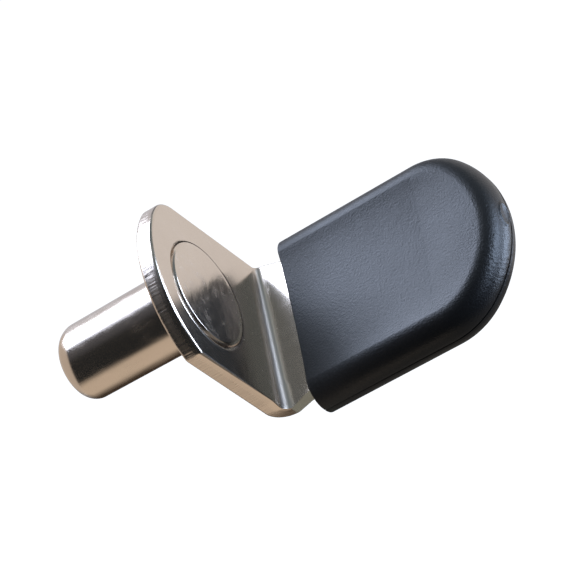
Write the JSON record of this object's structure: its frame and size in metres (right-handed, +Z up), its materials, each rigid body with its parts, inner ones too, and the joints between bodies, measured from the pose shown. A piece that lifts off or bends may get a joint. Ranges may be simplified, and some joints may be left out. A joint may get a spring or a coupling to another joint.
{
  "type": "shelf support pin",
  "caption": "Bent steel shelf support: a headed pin for the cabinet's hole, an arched wall plate, and a leg under a moulded sleeve that carries the shelf.",
  "frame": {"origin": "on the pin's axis, in the plane of the plate's back face, which lies against the cabinet's wall", "axes": "+X out of the wall, the way the leg reaches, so the pin points along -X; +Z up, towards the plate's arched end; Y along the bend"},
  "size_m": [0.0279, 0.013, 0.0145],
  "materials": {
    "bracket_plating": "gloss",
    "pin_plating": "gloss",
    "sleeve_plastic": "matte"
  },
  "bodies": {
    "root": {"bracket": "bracket_plating", "pin": "pin_plating", "sleeve": "sleeve_plastic"}
  },
  "joints": []
}
